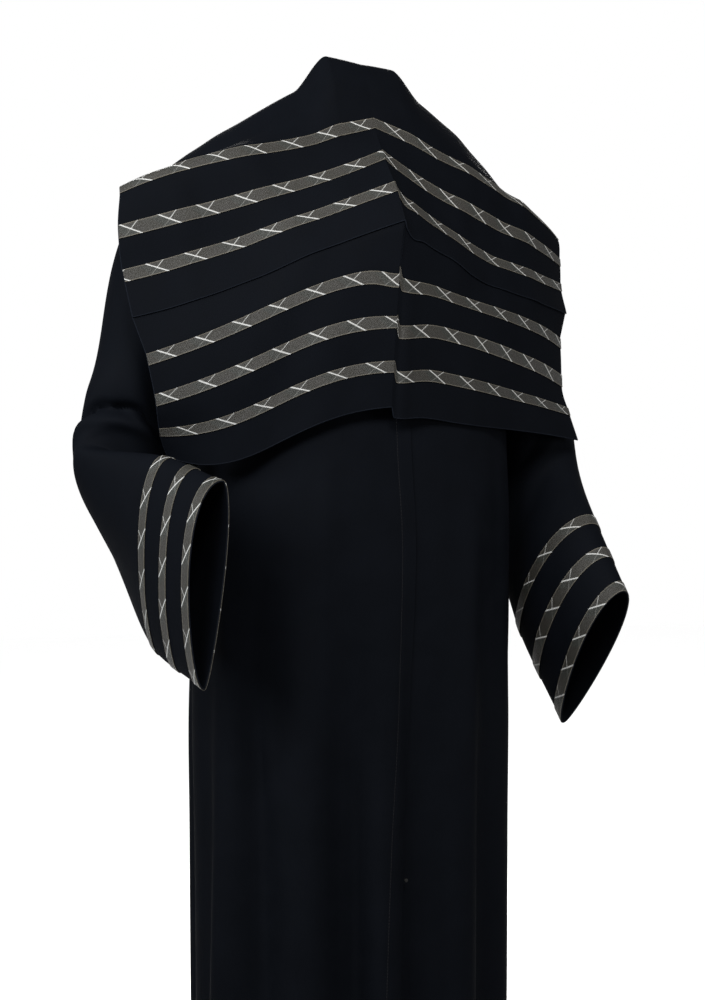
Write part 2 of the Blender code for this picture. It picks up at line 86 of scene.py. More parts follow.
# Threads of a crossing: the unit normal along and across the ribbon, and half the thread's width
BOLD_THREAD = (0.517, 0.856, 0.72)
SECOND_THREAD = (0.627, -0.779, 0.48)
FAINT_THREAD = (0.627, -0.779, 0.42)

# Front closure. A stitch's sections hold the share of its length, the half width and the lift
PLACKET_WIDTH = 17.0
PLACKET_RISE = 0.30
PLACKET_EASE = 1.6
GROOVE_DEPTH = 0.35
GROOVE_WIDTH = 1.1
UNDERLAP = 36.0
UNDERLAP_EASE = 30.0
STITCH_LENGTH = 2.6
STITCH_PITCH = 3.8
STITCH_LIFT = 0.1
STITCH_SECTIONS = ((0.0, 0.25, -0.05), (0.25, 0.5, 0.22), (0.75, 0.5, 0.22), (1.0, 0.25, -0.05))

# Body: level rings from the hem up to the neckline
Ring = namedtuple("Ring", "z half side_y front back edge_x")
BODY_RINGS = (
    Ring(z=-1360, half=184, side_y=40, front=-122, back=200, edge_x=-10),
    Ring(z=-1180, half=185, side_y=39, front=-122, back=196, edge_x=-8),
    Ring(z=-1000, half=188, side_y=37, front=-121, back=190, edge_x=-3),
    Ring(z=-850, half=192, side_y=36, front=-120, back=182, edge_x=4),
    Ring(z=-690, half=197, side_y=35, front=-119, back=172, edge_x=16),
    Ring(z=-510, half=197, side_y=31, front=-117, back=156, edge_x=22),
    Ring(z=-390, half=192, side_y=26, front=-113, back=143, edge_x=17),
    Ring(z=-255, half=186, side_y=19, front=-102, back=128, edge_x=15),
    Ring(z=-150, half=182, side_y=14, front=-82, back=112, edge_x=15),
    Ring(z=-90, half=179, side_y=13, front=-56, back=94, edge_x=15),
    Ring(z=-52.5, half=171, side_y=12, front=-38, back=72, edge_x=15),
    Ring(z=-14, half=120, side_y=9, front=-36, back=60, edge_x=15),
    Ring(z=14, half=72, side_y=5, front=-38, back=52, edge_x=15),
)
SQUARENESS = 0.035
HEM_Z = -1360.0
UNDERARM_Z = -255.0
SHOULDER_Z = -52.5
NECK_Z = 14.0
NECK_DIP = 50.0
NECK_DIP_FROM_Z = -190.0
SKIRT_ROWS = 150
SHOULDER_ROWS = 12
ARMHOLE_STEPS = 40
ARMHOLE_MIDDLE_Z = -150.0
ARMHOLE_BITE = 40.0

# Upright folds of the skirt, in order round the body: 0 is the left side seam and -90 the middle front
Fold = namedtuple("Fold", "top_angle hem_angle top_z height")
SKIRT_FOLDS = (
    Fold(-180, -186, -560, 5),
    Fold(-150, -163, -500, 21),
    Fold(-122, -123, -420, 18),
    Fold(-97, -95, -480, 14),
    Fold(-66, -69, -440, 17),
    Fold(-38, -36, -480, 9),
    Fold(-12, -9, -480, 8),
    Fold(14, 16, -420, 14),
    Fold(39, 40, -340, 19),
    Fold(63, 64, -400, 22),
    Fold(89, 88, -340, 24),
    Fold(114, 112, -400, 21),
    Fold(138, 134, -360, 14),
    Fold(160, 154, -440, 7),
)
FOLD_GROWTH = 620.0
FOLD_SHARPNESS = 1.25
TROUGH_DEPTH = 12.0
TROUGH_TOP_Z = -430.0
TROUGH_GROWTH = 380.0
TROUGH_FACING = 0.8
COLUMNS_PER_FOLD = 18
PLACE_MARGIN = 0.12
COLUMN_ROOM = 4.0
RIGHT_PLACES_END = -102.0
LEFT_PLACES_START = -78.0
SIDE_PACE = 0.8
ANGLE_STEPS = 720
EDGE_COLUMNS = 7
FILL_STEPS = 4
JOIN_POINTS = 4

# Soft creases of the skirt: from one angle and height to another, with their width in degrees
Crease = namedtuple("Crease", "angle_a z_a angle_b z_b width height")
SKIRT_CREASES = (
    Crease(-139, -690, -132, -880, 3.2, 2.6),
    Crease(-158, -520, -150, -760, 3.6, 2.2),
    Crease(-104, -640, -105, -1350, 4.6, -7.0),
    Crease(-115, -420, -118, -1330, 4.0, 3.0),
    Crease(-143, -660, -142, -1350, 4.6, -7.0),
    Crease(-60, -470, -61, -1350, 6.0, 6.0),
    Crease(-74, -420, -78, -700, 4.0, 1.5),
    Crease(-44, -360, -42, -820, 5.0, -3.0),
    Crease(-24, -560, -22, -980, 3.4, 1.6),
    Crease(30, -420, 27, -900, 3.2, 2.2),
    Crease(52, -520, 50, -1250, 3.0, -3.0),
    Crease(101, -500, 100, -1200, 3.0, -3.2),
    Crease(126, -560, 124, -1100, 3.2, 2.4),
    Crease(147, -600, 145, -1280, 3.2, -2.6),
)
CREASE_FADE = 140.0

# Sleeves, ring by ring from the cuff. top is the overarm line and low the hanging underarm fold.
# fore and aft are how far the two faces stand off the line between them
Cuffward = namedtuple("Cuffward", "along top low fore aft")
RIGHT_SLEEVE = (
    Cuffward(along=0, top=(-244, -200, -429), low=(-262, -190, -657), fore=13, aft=33),
    Cuffward(along=120, top=(-282, -96, -400), low=(-282, -70, -616), fore=26, aft=26),
    Cuffward(along=250, top=(-344, 6, -388), low=(-262, 42, -540), fore=44, aft=24),
    Cuffward(along=370, top=(-316, 20, -280), low=(-232, 44, -420), fore=46, aft=42),
    Cuffward(along=480, top=(-300, 18, -172), low=(-214, 32, -330), fore=44, aft=48),
    Cuffward(along=560, top=(-262, 16, -90), low=(-203, 24, -284), fore=42, aft=48),
)
LEFT_SLEEVE = (
    Cuffward(along=0, top=(275, -150, -558), low=(251, -40, -722), fore=28, aft=24),
    Cuffward(along=120, top=(262, -84, -464), low=(222, 26, -602), fore=36, aft=32),
    Cuffward(along=250, top=(289, 8, -376), low=(204, 56, -494), fore=42, aft=42),
    Cuffward(along=370, top=(262, 18, -270), low=(196, 46, -402), fore=42, aft=46),
    Cuffward(along=470, top=(240, 15, -172), low=(208, 32, -318), fore=42, aft=48),
    Cuffward(along=545, top=(212, 14, -102), low=(201, 24, -280), fore=38, aft=46),
)
SLEEVE_LENGTH = {RIGHT: 650.0, LEFT: 610.0}
CUFF_PHASES = {RIGHT: (6.0, -14.0, 10.0), LEFT: (-6.0, 12.0, -16.0)}
SLEEVE_TOP_HEAVY = 0.3
SLEEVE_ROWS = 190

# Soft creases of a sleeve: middle distance from the cuff and share of the way round, how far along and
# round they reach, the slant between the two, and their height
Pucker = namedtuple("Pucker", "along share reach spread slant height")
RIGHT_PUCKERS = (
    Pucker(309, 0.50, 6, 0.12, 90, -11.0),
    Pucker(340, 0.68, 7, 0.12, 280, -11.0),
    Pucker(294, 0.50, 10, 0.12, 90, 7.0),
    Pucker(322, 0.68, 10, 0.12, 280, 7.0),
    Pucker(338, 0.52, 16, 0.12, 60, 3.0),
    Pucker(205, 0.72, 26, 0.07, 230, 2.4),
    Pucker(150, 0.66, 40, 0.05, 420, -1.8),
    Pucker(410, 0.62, 30, 0.06, 260, -2.2),
    Pucker(270, 0.22, 16, 0.14, -60, 3.0),
    Pucker(300, 0.24, 12, 0.12, -60, -3.0),
)
LEFT_PUCKERS = (
    Pucker(300, 0.36, 16, 0.12, 90, -2.6),
    Pucker(262, 0.38, 18, 0.13, 120, 2.6),
    Pucker(205, 0.30, 26, 0.06, 260, -2.2),
    Pucker(160, 0.26, 34, 0.05, 360, 1.8),
    Pucker(360, 0.32, 20, 0.08, 200, 2.2),
    Pucker(280, 0.76, 18, 0.14, -70, 2.6),
)

# Shoulder scarf, upper layer: the crease line from the front hem over the neck to the fold behind.
# along is the distance from the front hem, cap how far the neck's flat top stands over the slopes
Spine = namedtuple("Spine", "along x y z cap")
UPPER_SPINE = (
    Spine(0, 2, -132, -127, 0),
    Spine(48, 1, -106, -86, 0),
    Spine(98, 0, -71, -45, 0),
    Spine(149, 0, -41, -4, 4),
    Spine(200, 0, -22, 46, 18),
    Spine(235, 0, 2, 73, 26),
    Spine(268, 0, 34, 64, 14),
    Spine(310, 0, 66, 34, 4),
    Spine(360, 0, 94, -8, 0),
    Spine(460, 0, 126, -102, 0),
    Spine(560, 0, 142, -200, 0),
    Spine(740, 0, 162, -378, 0),
)
LOWER_SPINE = (
    Spine(0, -14, -130, -343, 0),
    Spine(54, -12, -131, -297, 0),
    Spine(105, -9, -132, -245, 0),
    Spine(170, -5, -132, -174, 0),
)

# How each half runs out from the crease: its length, then degrees backward and degrees downward
# beside the crease, halfway and at the outer edge
Half = namedtuple("Half", "along run back fall")
UPPER_RIGHT_HALF = (
    Half(0, 334, (12, 18, 14), (19, 23, 13)),
    Half(48, 334, (8, 15, 14), (21, 20, 14)),
    Half(98, 330, (-2, 9, 16), (24, 16, 15)),
    Half(149, 322, (-8, 5, 22), (20, 11, 26)),
    Half(200, 325, (-4, 14, 28), (20, 29, 31)),
    Half(235, 330, (4, 18, 20), (20, 32, 34)),
    Half(310, 330, (0, 8, 14), (24, 36, 38)),
    Half(460, 325, (-2, -6, -16), (22, 28, 28)),
    Half(740, 305, (-2, -10, -22), (10, 12, 12)),
)
UPPER_LEFT_HALF = (
    Half(0, 318, (14, 22, 40), (43, 12, 6)),
    Half(48, 318, (8, 18, 44), (45, 15, 4)),
    Half(98, 318, (0, 14, 44), (36, 17, 14)),
    Half(149, 316, (-6, 12, 40), (23, 21, 24)),
    Half(200, 320, (-4, 14, 36), (25, 33, 36)),
    Half(235, 326, (4, 16, 26), (22, 36, 40)),
    Half(310, 325, (0, 6, 10), (26, 38, 44)),
    Half(460, 315, (-2, -6, -20), (24, 30, 34)),
    Half(740, 300, (-2, -10, -24), (10, 14, 16)),
)
LOWER_RIGHT_HALF = (
    Half(0, 277, (8, 20, 44), (4, 27, -22)),
    Half(54, 284, (8, 18, 32), (2, 26, 0)),
    Half(105, 294, (8, 16, 22), (2, 25, 16)),
    Half(170, 312, (10, 16, 18), (6, 25, 18)),
)
LOWER_LEFT_HALF = (
    Half(0, 318, (10, 22, 26), (14, 3, 6)),
    Half(54, 310, (10, 22, 34), (9, 8, 8)),
    Half(105, 304, (10, 22, 41), (9, 11, 14)),
    Half(170, 304, (10, 22, 44), (26, 9, 14)),
)
CAP_HALF_WIDTH = 48.0
CAP_EDGE = 42.0
PLEAT_STEP = 4.0
LEFT_CAP_SHARE = 0.62
WALK_STEPS = 200
DRAPE_COLUMNS = 130
MIDDLE_COLUMN = DRAPE_COLUMNS - 1
CREASE_CROWDING = 1.3
RIDGE_ALONG = 268.0
BACK_END_ALONG = 740.0
ROW_PACE = 4.0
BACK_ROWS = 90
TUCK_ROWS = (0.0, 41.0, 8)
BRIDGE_ROWS = 6
OPEN_EDGES = ("end", "right", "left")
UPPER_PHASES = (19.0, -6.0, 19.0)
LOWER_PHASES = (-24.0, 3.0, 17.0)

# Small folds of the scarf. at is the distance from the crease where a fold meets the front hem, slant how
# much farther out it runs for each millimetre up the cloth. A fade holds its end and its length
Ripple = namedtuple("Ripple", "at slant width height")
UPPER_RIPPLES = {
    RIGHT: (Ripple(118, 0.35, 24, 2.6), Ripple(175, 0.50, 22, -2.2), Ripple(262, -0.10, 18, 1.6)),
    LEFT: (Ripple(96, 0.25, 20, 2.4), Ripple(150, 0.35, 20, -2.4), Ripple(232, -0.05, 18, 1.8)),
}
LOWER_RIPPLES = {
    RIGHT: (Ripple(86, -0.10, 26, 2.0), Ripple(150, -0.20, 26, -2.2)),
    LEFT: (Ripple(120, 0, 24, 1.8), Ripple(190, 0.10, 26, -2.0), Ripple(5, 0, 4, -1.6),
           Ripple(16, 0, 8, 1.2)),
}
UPPER_RIPPLE_FADE = (330, 160)
LOWER_RIPPLE_FADE = (190, 90)

# Beside its crease the cloth hangs lower, most where the wearer's left half is pleated under
UPPER_PLEAT = Ripple(14, 0, 16, 10.5)
UPPER_LIFT = Ripple(80, 0, 26, 4.5)
UPPER_PLEAT_END = 110
LOWER_LEFT_SAG = Ripple(0, 0, 35, 11.5)
LOWER_RIGHT_SAG = Ripple(0, 0, 24, 8.5)
LOWER_SAG_START = 100
LOWER_SAG_EASE = 45

# Colours of the finishes
NOISE_RANGE = (0.3, 0.7)
CREPE_DARK = (0.00027, 0.00034, 0.00050)
CREPE_LIGHT = (0.00054, 0.00066, 0.00096)
CREPE_SHEEN = (0.75, 0.80, 1.0, 1.0)
# The crepe of the rolled hems and edge cords is painted this much lighter: a painted highlight along the
# edges
HEM_HIGHLIGHT_LIGHTER = 2.2
THREAD_GREY = (0.0013, 0.0013, 0.0015)
STUD_GREY = (0.006, 0.006, 0.0058)
FLOOR_WHITE = (0.98, 0.98, 0.98, 1.0)
GROUND_WARM = (0.0034, 0.0031, 0.0027, 1.0)
GROUND_DEEP = (0.0031, 0.0029, 0.0023, 1.0)
GROUND_HIGH = (0.0056, 0.0053, 0.0046, 1.0)
FINE_DARK = (0.0019, 0.0020, 0.0017, 1.0)
FINE_LIGHT = (0.0048, 0.0050, 0.0043, 1.0)
EDGE_BRONZE = (0.0150, 0.0135, 0.0105, 1.0)
SILVER_FAINT = (0.030, 0.030, 0.028, 1.0)
SILVER_SECOND = (0.048, 0.048, 0.046, 1.0)
SILVER_BOLD = (0.062, 0.062, 0.060, 1.0)

# Camera at the photograph's angle, and the studio round it
VIEW_TURN = math.radians(22.0)
CAMERA_DISTANCE = 3.0
CAMERA_ASIDE = -0.010
CAMERA_HEIGHT = -0.45
LENS = 90.0
SENSOR = 36.0
FLOOR_Z = -1.405
FLOOR_REACH = 14.0
BEAM = math.radians(80.0)
CHEST = (0.0, 0.0, -0.1)
Lamp = namedtuple("Lamp", "name place target size power colour")
LAMPS = (
    Lamp("front", (-0.4, -2.2, 1.6), CHEST, 1.0, 94.0, (1.0, 0.98, 0.95)),
    Lamp("left front", (-1.9, -1.9, 1.2), CHEST, 0.9, 60.0, (0.97, 0.98, 1.0)),
    Lamp("left side", (-2.6, -0.1, 0.6), CHEST, 0.9, 72.0, (0.93, 0.97, 1.0)),
    Lamp("left forearm", (-1.5, -0.9, 0.2), (-0.32, -0.12, -0.45), 0.5, 13.0, (0.95, 0.98, 1.0)),
    Lamp("right sleeve", (1.2, -1.2, -0.3), (0.3, 0.0, -0.5), 0.5, 10.0, (0.97, 0.98, 1.0)),
    Lamp("behind", (0.9, 2.4, 1.0), CHEST, 1.2, 45.0, (1.0, 0.98, 0.96)),
)


def smooth(t):
    """0 to 1 with level ends."""
    t = np.clip(t, 0.0, 1.0)
    return t * t * (3.0 - 2.0 * t)


def bell(t):
    return np.exp(-np.square(t))


def column(rows, name):
    """One named column of a table."""
    return [getattr(row, name) for row in rows]


def slopes_at(at, values):
    """Slopes that keep a curve through (at, values) from overshooting."""
    step = np.diff(at)[:, None]
    slope = np.diff(values, axis=0) / step
    if len(at) == 2:
        return np.vstack([slope, slope])
    before, after = slope[:-1], slope[1:]
    same = before * after > 0
    weight_a = 2 * step[1:] + step[:-1]
    weight_b = step[1:] + 2 * step[:-1]
    safe_before = np.where(same, before, 1.0)
    safe_after = np.where(same, after, 1.0)
    mean = (weight_a + weight_b) / (weight_a / safe_before + weight_b / safe_after)
    return np.vstack([slope[:1], np.where(same, mean, 0.0), slope[-1:]])


def curve_through(at, values, where):
    """A smooth curve through (at, values), read at where. Each value may be a number or an array."""
    at = np.asarray(at, float)
    values = np.asarray(values, float)
    where = np.asarray(where, float)
    flat = values.reshape(len(at), -1)
    tangent = slopes_at(at, flat)
    spot = np.clip(where.ravel(), at[0], at[-1])
    index = np.clip(np.searchsorted(at, spot, side="right") - 1, 0, len(at) - 2)
    width = (at[index + 1] - at[index])[:, None]
    t = (spot - at[index])[:, None] / width
    start = (1 + 2 * t) * (1 - t) ** 2 * flat[index] + t * (1 - t) ** 2 * width * tangent[index]
    end = t * t * (3 - 2 * t) * flat[index + 1] + t * t * (t - 1) * width * tangent[index + 1]
    return (start + end).reshape(where.shape + values.shape[1:])


def unit(vectors):
    return vectors / np.linalg.norm(vectors, axis=-1, keepdims=True)


def grid_normals(grid):
    """Outward normals of a grid whose rows go up the outside and whose columns go to the left hand."""
    up = np.gradient(grid, axis=0)
    across = np.gradient(grid, axis=1)
    return unit(np.cross(across, up))


def lengths_along(grid, axis, middle):
    """Distance along rows or columns in millimetres, from one of them."""
    step = np.linalg.norm(np.diff(grid, axis=axis), axis=2)
    total = np.cumsum(step, axis=axis)
    start = np.zeros_like(np.take(total, [0], axis=axis))
    total = np.concatenate([start, total], axis=axis)
    return total - np.take(total, [middle], axis=axis)


def cloth_map(grid, middle=0):
    """Flat cloth coordinates of a grid in metres: along its rows, and up its columns."""
    return np.stack([lengths_along(grid, 1, middle), lengths_along(grid, 0, 0)], axis=2) * MM


# Meshes

def placed(name, data):
    """A new object in the scene."""
    made = bpy.data.objects.new(name, data)
    bpy.context.scene.collection.objects.link(made)
    return made


def add_mesh(name, vertices, faces, maps, finish):
    mesh = bpy.data.meshes.new(name)
    mesh.from_pydata([tuple(point) for point in np.asarray(vertices) * MM], [], faces)
    layer = mesh.uv_layers.new(name="cloth")
    corner = np.empty(len(mesh.loops), dtype=np.int32)
    mesh.loops.foreach_get("vertex_index", corner)
    layer.data.foreach_set("uv", np.asarray(maps, float)[corner].ravel())
    mesh.shade_smooth()
    mesh.set_sharp_from_angle(angle=SHARP_ANGLE)
    mesh.materials.append(finish)
    return placed(name, mesh)


def rim_loop(rows, columns):
    """Grid places round the edge, anticlockwise as seen from outside."""
    loop = [(0, j) for j in range(columns - 1)]
    loop += [(i, columns - 1) for i in range(rows - 1)]
    loop += [(rows - 1, j) for j in range(columns - 1, 0, -1)]
    loop += [(i, 0) for i in range(rows - 1, 0, -1)]
    return loop


def wall(name, outer, inner, maps, finish):
    """A sheet of cloth between two grids of the same size."""
    rows, columns = outer.shape[:2]
    count = rows * columns
    a = (np.arange(rows - 1)[:, None] * columns + np.arange(columns - 1)).ravel()
    b, c, d = a + 1, a + columns + 1, a + columns
    faces = np.stack([a, b, c, d], 1).tolist()
    faces += (np.stack([a, d, c, b], 1) + count).tolist()
    loop = [i * columns + j for i, j in rim_loop(rows, columns)]
    for start, stop in zip(loop, loop[1:] + loop[:1]):
        faces.append((stop, start, count + start, count + stop))
    vertices = np.vstack([outer.reshape(-1, 3), inner.reshape(-1, 3)])
    flat = maps.reshape(-1, 2)
    return add_mesh(name, vertices, faces, np.vstack([flat, flat]), finish)


def cloth(name, grid, normals, finish, thickness=SHEET, middle=0):
    outer = grid - normals * SKIN
    return wall(name, outer, outer - normals * thickness, cloth_map(grid, middle), finish)


def ribbon(name, grid, normals, finish, middle, phase):
    """A woven ribbon on a strip of a surface. phase moves its crossings along it."""
    far = grid + normals * TRIM_LIFT
    maps = cloth_map(grid, middle)
    maps[:, :, 0] += phase * MM
    rows = len(grid)
    maps[:, :, 1] = (np.arange(rows) / (rows - 1) * TRIM_WIDTH * MM)[:, None]
    return wall(name, far, far - normals * TRIM_SHEET, maps, finish)


def steps_along(path):
    """Distance of each point of a path from its start."""
    return np.concatenate([[0.0], np.cumsum(np.linalg.norm(np.diff(path, axis=0), axis=1))])


def tube(name, path, radius, finish, sides=8):
    """A thin round cord of cloth along a path, such as a rolled hem."""
    ahead = unit(np.gradient(path, axis=0))
    helper = np.where(np.abs(ahead[:, 2:]) > 0.9, [[1.0, 0.0, 0.0]], [[0.0, 0.0, 1.0]])
    side = unit(np.cross(ahead, helper))
    rise = np.cross(side, ahead)
    turn = 2 * np.pi * np.arange(sides) / sides
    ring = side[:, None] * np.cos(turn)[None, :, None] + rise[:, None] * np.sin(turn)[None, :, None]
    points = (path[:, None] + ring * radius).reshape(-1, 3)
    faces = []
    for i in range(len(path) - 1):
        for k in range(sides):
            after = (k + 1) % sides
            near, far = i * sides, (i + 1) * sides
            faces.append((near + k, near + after, far + after, far + k))
    last = (len(path) - 1) * sides
    faces.append(tuple(range(sides - 1, -1, -1)))
    faces.append(tuple(last + k for k in range(sides)))
    maps = np.stack([np.repeat(steps_along(path), sides), np.tile(turn * radius, len(path))], 1) * MM
    return add_mesh(name, points, faces, maps, finish)


def stitches(name, path, normals, finish):
    """A row of small thread stitches that lie along a path."""
    steps = steps_along(path)
    points, faces, maps = [], [], []
    for start in np.arange(STITCH_PITCH, steps[-1] - STITCH_PITCH, STITCH_PITCH):
        first = len(points)
        for share, half, lift in STITCH_SECTIONS:
            at = start + share * STITCH_LENGTH
            centre = np.array([np.interp(at, steps, path[:, k]) for k in range(3)])
            normal = unit(np.array([np.interp(at, steps, normals[:, k]) for k in range(3)]))
            ahead = np.array([np.interp(at + 1, steps, path[:, k]) for k in range(3)]) - centre
            side = unit(np.cross(normal, ahead)) * half
            points += [centre + side, centre + normal * (lift + half * 0.5), centre - side]
            maps += [(at * MM, 0.0)] * 3
        for k in range(len(STITCH_SECTIONS) - 1):
            near, far = first + 3 * k, first + 3 * k + 3
            faces += [(near, near + 1, far + 1, far), (near + 1, near + 2, far + 2, far + 1)]
    return add_mesh(name, points, faces, maps, finish)


# Body

def ring_at(z):
    names = ("half", "side_y", "front", "back", "edge_x")
    table = [[getattr(row, name) for name in names] for row in BODY_RINGS]
    values = curve_through(column(BODY_RINGS, "z"), table, z)
    return dict(zip(names, values))


def fold_angles(z):
    """The angle of each fold's ridge at one height, with a turn more at each end."""
    share = np.clip((SHOULDER_Z - z) / (SHOULDER_Z - HEM_Z), 0.0, 1.0)
    top = np.array(column(SKIRT_FOLDS, "top_angle"), float)
    hem = np.array(column(SKIRT_FOLDS, "hem_angle"), float)
    ridges = top + (hem - top) * share
    return np.concatenate([ridges - 360, ridges, ridges + 360])


def fold_place(angle, z):
    """Where an angle lies among the ridges: whole numbers are ridges, halves are troughs."""
    ridges = fold_angles(z)
    return np.interp(angle, ridges, np.arange(len(ridges)))


def fold_heights(angles, z):
    place = fold_place(angles, z)
    nearest = np.round(place).astype(int)
    tops = np.array(column(SKIRT_FOLDS, "top_z"), float)[nearest % len(SKIRT_FOLDS)]
    full = np.array(column(SKIRT_FOLDS, "height"), float)[nearest % len(SKIRT_FOLDS)]
    wave = (0.5 + 0.5 * np.cos(2 * np.pi * (place - nearest))) ** FOLD_SHARPNESS
    facing = np.abs(np.sin(np.radians(angles))) ** TROUGH_FACING
    trough = TROUGH_DEPTH * smooth((TROUGH_TOP_Z - z) / TROUGH_GROWTH) * facing * (1 - wave) ** 2
    return full * smooth((tops - z) / FOLD_GROWTH) * wave - trough


def crease_heights(angles, z):
    """Small slanting creases that ride on the big folds."""
    total = np.zeros_like(angles)
    for row in SKIRT_CREASES:
        share = (z - row.z_a) / (row.z_b - row.z_a)
        middle = row.angle_a + (row.angle_b - row.angle_a) * share
        ends = smooth((row.z_a + CREASE_FADE / 2 - z) / CREASE_FADE)
        ends = ends * smooth((z - row.z_b + CREASE_FADE / 2) / CREASE_FADE)
        total = total + row.height * ends * bell((angles - middle) / row.width)
    return total


def body_row(angles, z):
    """Points of the body's outer surface at one height, for angles in degrees."""
    angles = np.asarray(angles, float)
    ring = ring_at(z)
    turn = np.radians(angles)
    swell = 1.0 + SQUARENESS * np.sin(2 * turn) ** 2
    depth = np.where(np.sin(turn) < 0, ring["side_y"] - ring["front"], ring["back"] - ring["side_y"])
    height = fold_heights(angles, z) + crease_heights(angles, z)
    x = ring["half"] * np.cos(turn) * swell + np.cos(turn) * height
    y = ring["side_y"] + depth * np.sin(turn) * swell + np.sin(turn) * height
    front = np.maximum(0.0, -np.sin(turn)) ** 2
    dip = NECK_DIP * front * smooth((z - NECK_DIP_FROM_Z) / (NECK_Z - NECK_DIP_FROM_Z))
    return np.stack([x, y, z - dip], axis=1)


def angle_for_x(x, z):
    """The front angle, between -180 and 0, at which the body's outline has this x."""
    angles = np.linspace(-180, 0, ANGLE_STEPS + 1)
    turn = np.radians(angles)
    across = ring_at(z)["half"] * np.cos(turn) * (1.0 + SQUARENESS * np.sin(2 * turn) ** 2)
    return float(np.interp(x, across, angles))


def armhole_heights():
    turn = np.pi * np.arange(ARMHOLE_STEPS + 1) / ARMHOLE_STEPS
    return UNDERARM_Z + (SHOULDER_Z - UNDERARM_Z) * (1 - np.cos(turn)) / 2


def armhole_bite(z):
    """Degrees that the armhole takes out of each panel at a height."""
    if z <= UNDERARM_Z or z >= SHOULDER_Z:
        return 0.0
    level = 2 * (z - UNDERARM_Z) / (SHOULDER_Z - UNDERARM_Z) - 1
    return ARMHOLE_BITE * math.sqrt(max(0.0, 1 - level * level))


def body_heights():
    skirt = np.linspace(HEM_Z, UNDERARM_Z, SKIRT_ROWS, endpoint=False)
    shoulder = np.linspace(SHOULDER_Z, NECK_Z, SHOULDER_ROWS + 1)[1:]
    return np.concatenate([skirt, armhole_heights(), shoulder])


def seam_gap_angle(z):
    """Half the seam gap as an angle: a side's depth is about SIDE_PACE of its half width."""
    return math.degrees(GAP / 2 / float(ring_at(z)["half"] * SIDE_PACE))


def inner_places(start, end):
    """Evenly spaced places among the folds that stay inside a panel at every height."""
    heights = body_heights()
    low = max(fold_place(start, z) for z in heights)
    high = min(fold_place(end, z) for z in heights)
    first = math.ceil((low + PLACE_MARGIN) * COLUMNS_PER_FOLD)
    last = math.floor((high - PLACE_MARGIN) * COLUMNS_PER_FOLD)
    return np.arange(first, last + 1) / COLUMNS_PER_FOLD


def squeezed(angles, inside, start, end):
    """Angles that lie inside one range, squeezed into the range from start to end."""
    share = (np.asarray(angles) - inside[0]) / (inside[1] - inside[0])
    return start + share * (end - start)


def place_angles(places, z):
    ridges = fold_angles(z)
    return np.interp(places, np.arange(len(ridges)), ridges)


def filled_in(angles, first):
    """The same angles with the wide step after first split into FILL_STEPS steps."""
    between = np.linspace(angles[first], angles[first + 1], FILL_STEPS + 1)[1:-1]
    return np.concatenate([angles[:first + 1], between, angles[first + 1:]])


def panel(angles_at):
    grid = np.array([body_row(angles_at(z), z) for z in body_heights()])
    return grid, grid_normals(grid)


def back_panel():
    places = inner_places(0, 180)

    def angles_at(z):
        gap = seam_gap_angle(z)
        angles = np.concatenate([[gap], place_angles(places, z), [180 - gap]])
        angles = filled_in(angles, len(angles) - 2)
        angles = filled_in(angles, 0)
        bite = armhole_bite(z)
        return squeezed(angles, (0, 180), bite, 180 - bite)

    return panel(angles_at)


def front_edge_angles(z):
    """From the underlap's edge over the placket stitching to the overlap's edge."""
    edge = float(ring_at(z)["edge_x"])
    wide = np.linspace(UNDERLAP, PLACKET_WIDTH, EDGE_COLUMNS, endpoint=False)
    narrow = np.linspace(PLACKET_WIDTH, 0.0, EDGE_COLUMNS + 1)
    return np.array([angle_for_x(edge - inset, z) for inset in np.concatenate([wide, narrow])])


def right_front_panel():
    places = inner_places(-180, RIGHT_PLACES_END)

    def angles_at(z):
        angles = np.concatenate([[-180 + seam_gap_angle(z)], place_angles(places, z)])
        angles = filled_in(angles, 0)
        edge = front_edge_angles(z)
        inside = (-180, max(edge[0], angles[-1] + COLUMN_ROOM))
        plain = squeezed(angles, inside, -180 + armhole_bite(z), edge[0])
        plain = np.concatenate([plain, np.linspace(plain[-1], edge[0], JOIN_POINTS)[1:-1]])
        return np.concatenate([plain, edge])

    grid, normals = panel(angles_at)
    inset = np.array([ring_at(z)["edge_x"] for z in body_heights()])[:, None] - grid[:, :, 0]
    front = normals[:, :, 1] < 0
    strip = smooth((PLACKET_WIDTH - inset) / PLACKET_EASE) * front
    groove = bell((inset - PLACKET_WIDTH) / GROOVE_WIDTH) * front
    raised = PLACKET_RISE * strip - GROOVE_DEPTH * groove
    return grid + normals * raised[:, :, None], normals


def left_front_panel():
    places = inner_places(LEFT_PLACES_START, 0)

    def angles_at(z):
        angles = np.concatenate([place_angles(places, z), [-seam_gap_angle(z)]])
        angles = filled_in(angles, len(angles) - 2)
        edge = front_edge_angles(z)
        inside = (min(edge[-1], angles[0] - COLUMN_ROOM), 0)
        plain = squeezed(angles, inside, edge[-1], -armhole_bite(z))
        plain = np.concatenate([np.linspace(edge[-1], plain[0], JOIN_POINTS)[1:-1], plain])
        return np.concatenate([edge, plain])

    grid, normals = panel(angles_at)
    edge_x = np.array([float(ring_at(z)["edge_x"]) for z in body_heights()])
    under = smooth((edge_x[:, None] + UNDERLAP_EASE - grid[:, :, 0]) / UNDERLAP_EASE)
    grid = grid - normals * (under * (TUCK_DEPTH + GAP))[:, :, None]
    return grid, normals


# Sleeves

def armhole_ring(side, grid, normals, edge_column):
    """One panel's armhole edge, from the underarm up, moved off it by the seam gap."""
    rows = slice(SKIRT_ROWS, SKIRT_ROWS + ARMHOLE_STEPS + 1)
    edge = grid[rows, edge_column]
    off = unit(np.cross(np.gradient(edge, axis=0), normals[rows, edge_column]))
    ring = ring_at(ARMHOLE_MIDDLE_Z)
    middle = np.array([side * float(ring["half"]), float(ring["side_y"]), ARMHOLE_MIDDLE_Z])
    toward = np.sum(off * (middle - edge), axis=1, keepdims=True)
    off = off * np.where(toward < 0, -1.0, 1.0)
    return edge + off * GAP


